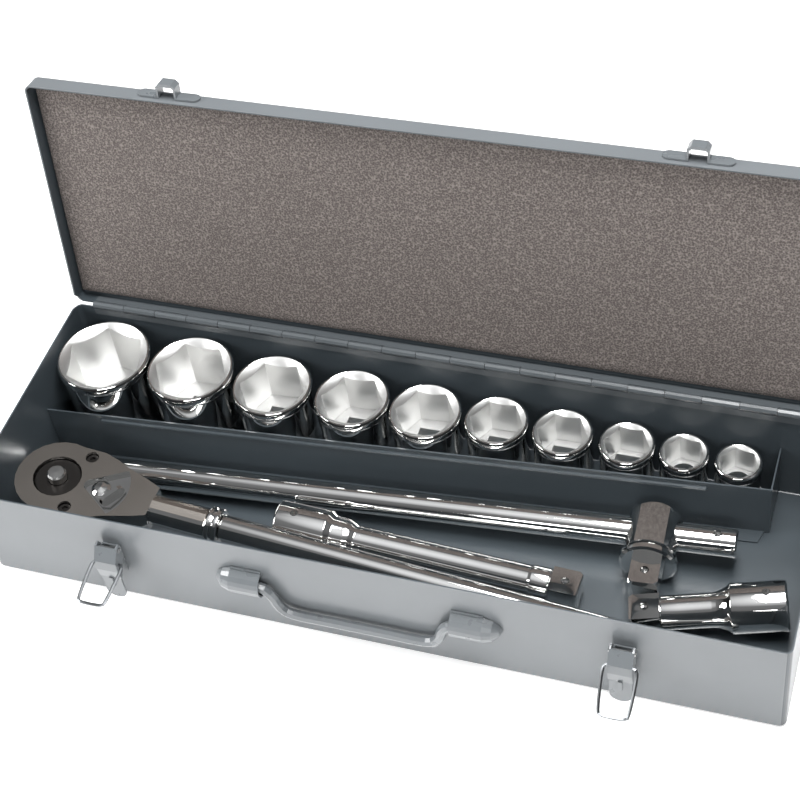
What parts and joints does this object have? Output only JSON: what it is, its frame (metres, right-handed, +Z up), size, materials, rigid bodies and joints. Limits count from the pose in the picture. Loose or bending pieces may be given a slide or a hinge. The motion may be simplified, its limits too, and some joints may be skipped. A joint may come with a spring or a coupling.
{
  "type": "socket wrench set in case",
  "caption": "Three-quarter-inch drive socket set: hexagon sockets, ratchet, sliding T-bar and extension bars in a hinged sheet-steel carrying case with two draw latches.",
  "frame": {"origin": "centre of the case's underside", "axes": "+X along the case to the right, +Y to the back where the hinge is, +Z up; the handle and latches face -Y"},
  "size_m": [0.546, 0.2612, 0.2722],
  "materials": {
    "case_paint": "semi-gloss grey enamel",
    "tray_paint": "semi-gloss dark slate enamel",
    "hardware_paint": "semi-gloss grey enamel",
    "plain_steel": "zinc plated",
    "chrome": "polished",
    "satin_chrome": "satin",
    "black_steel": "black oxide",
    "foam": "open-cell foam, matte"
  },
  "bodies": {
    "case": {"case_base": "case_paint", "tray_divider": "tray_paint", "hinge_leaf_base": "case_paint", "hinge_pin": "plain_steel", "latch_base_left": "hardware_paint", "latch_base_right": "hardware_paint", "latch_pin_left": "plain_steel", "latch_pin_right": "plain_steel", "handle_bracket_left": "hardware_paint", "handle_bracket_right": "hardware_paint"},
    "lid": {"lid_shell": "case_paint", "lid_foam": "foam", "hinge_leaf_lid": "case_paint", "lid_staple_left": "hardware_paint", "lid_staple_right": "hardware_paint"},
    "handle": {"handle_bail": "hardware_paint"},
    "latch_left": {"latch_lever_left": "hardware_paint"},
    "bail_left": {"latch_bail_left": "plain_steel"},
    "latch_right": {"latch_lever_right": "hardware_paint"},
    "bail_right": {"latch_bail_right": "plain_steel"},
    "ratchet": {"ratchet_body": "satin_chrome", "ratchet_cover": "chrome", "ratchet_screw_rear": "black_steel", "ratchet_screw_front": "black_steel", "ratchet_collar": "chrome", "ratchet_grip": "chrome"},
    "ratchet_drive": {"ratchet_drive": "black_steel", "ratchet_drive_ball": "plain_steel"},
    "ratchet_button": {"ratchet_button": "plain_steel"},
    "ratchet_selector": {"ratchet_lever": "chrome", "ratchet_pawl": "plain_steel"},
    "tbar": {"tbar_rod": "chrome", "tbar_ball_far": "plain_steel", "tbar_ball_near": "plain_steel"},
    "tbar_head": {"tbar_head": "chrome", "tbar_head_ball": "plain_steel"},
    "extension_long": {"extension_long": "chrome", "extension_long_ball": "plain_steel"},
    "extension_short": {"extension_short": "chrome", "extension_short_ball": "plain_steel"},
    "socket_50": {"socket_50": "chrome"},
    "socket_46": {"socket_46": "chrome"},
    "socket_41": {"socket_41": "chrome"},
    "socket_38": {"socket_38": "chrome"},
    "socket_36": {"socket_36": "chrome"},
    "socket_32": {"socket_32": "chrome"},
    "socket_30": {"socket_30": "chrome"},
    "socket_27": {"socket_27": "chrome"},
    "socket_24": {"socket_24": "chrome"},
    "socket_22": {"socket_22": "chrome"}
  },
  "joints": [
    {"name": "lid_hinge", "type": "hinge", "parent": "case", "child": "lid", "pos_m": [0, 0.0898, 0.0825], "axis": [-1, 0, 0], "range_deg": [-98, 0]},
    {"name": "handle_pivot", "type": "hinge", "parent": "case", "child": "handle", "pos_m": [0, -0.0954, 0.047], "axis": [-1, 0, 0], "range_deg": [0, 178]},
    {"name": "latch_lever_left", "type": "hinge", "parent": "case", "child": "latch_left", "pos_m": [-0.1705, -0.0963, 0.058], "axis": [1, 0, 0], "range_deg": [-95, 6]},
    {"name": "latch_bail_left", "type": "hinge", "parent": "latch_left", "child": "bail_left", "pos_m": [-0.1705, -0.1015, 0.049], "axis": [-1, 0, 0], "range_deg": [-73, 86]},
    {"name": "latch_lever_right", "type": "hinge", "parent": "case", "child": "latch_right", "pos_m": [0.1735, -0.0963, 0.058], "axis": [1, 0, 0], "range_deg": [-95, 6]},
    {"name": "latch_bail_right", "type": "hinge", "parent": "latch_right", "child": "bail_right", "pos_m": [0.1735, -0.1015, 0.049], "axis": [-1, 0, 0], "range_deg": [-39, 120]},
    {"name": "ratchet_lift", "type": "slide", "parent": "case", "child": "ratchet", "axis": [0, 0, 1], "range_m": [0, 0.12]},
    {"name": "ratchet_drive_turn", "type": "hinge", "parent": "ratchet", "child": "ratchet_drive", "pos_m": [-0.2322, -0.0463, 0.0479], "axis": [0.0792, -0.0023, 0.9969], "continuous": true},
    {"name": "ratchet_button_press", "type": "slide", "parent": "ratchet_drive", "child": "ratchet_button", "axis": [-0.0792, 0.0023, -0.9969], "range_m": [0, 0.003], "stiffness_N_per_m": 600},
    {"name": "ratchet_reverse", "type": "hinge", "parent": "ratchet", "child": "ratchet_selector", "pos_m": [-0.19932, -0.04725, 0.04528], "axis": [0.0792, -0.0023, 0.9969], "range_deg": [0, 36]},
    {"name": "tbar_lift", "type": "slide", "parent": "case", "child": "tbar", "axis": [0, 0, 1], "range_m": [0, 0.12]},
    {"name": "tbar_head_slide", "type": "slide", "parent": "tbar", "child": "tbar_head", "axis": [0.998, 0.0593, 0.0224], "range_m": [-0.018, 0]},
    {"name": "extension_long_lift", "type": "slide", "parent": "case", "child": "extension_long", "axis": [0, 0, 1], "range_m": [0, 0.12]},
    {"name": "extension_short_lift", "type": "slide", "parent": "case", "child": "extension_short", "axis": [0, 0, 1], "range_m": [0, 0.12]},
    {"name": "socket_50_lift", "type": "slide", "parent": "case", "child": "socket_50", "axis": [0, 0, 1], "range_m": [0, 0.12]},
    {"name": "socket_46_lift", "type": "slide", "parent": "case", "child": "socket_46", "axis": [0, 0, 1], "range_m": [0, 0.12]},
    {"name": "socket_41_lift", "type": "slide", "parent": "case", "child": "socket_41", "axis": [0, 0, 1], "range_m": [0, 0.12]},
    {"name": "socket_38_lift", "type": "slide", "parent": "case", "child": "socket_38", "axis": [0, 0, 1], "range_m": [0, 0.12]},
    {"name": "socket_36_lift", "type": "slide", "parent": "case", "child": "socket_36", "axis": [0, 0, 1], "range_m": [0, 0.12]},
    {"name": "socket_32_lift", "type": "slide", "parent": "case", "child": "socket_32", "axis": [0, 0, 1], "range_m": [0, 0.12]},
    {"name": "socket_30_lift", "type": "slide", "parent": "case", "child": "socket_30", "axis": [0, 0, 1], "range_m": [0, 0.12]},
    {"name": "socket_27_lift", "type": "slide", "parent": "case", "child": "socket_27", "axis": [0, 0, 1], "range_m": [0, 0.12]},
    {"name": "socket_24_lift", "type": "slide", "parent": "case", "child": "socket_24", "axis": [0, 0, 1], "range_m": [0, 0.12]},
    {"name": "socket_22_lift", "type": "slide", "parent": "case", "child": "socket_22", "axis": [0, 0, 1], "range_m": [0, 0.12]}
  ]
}
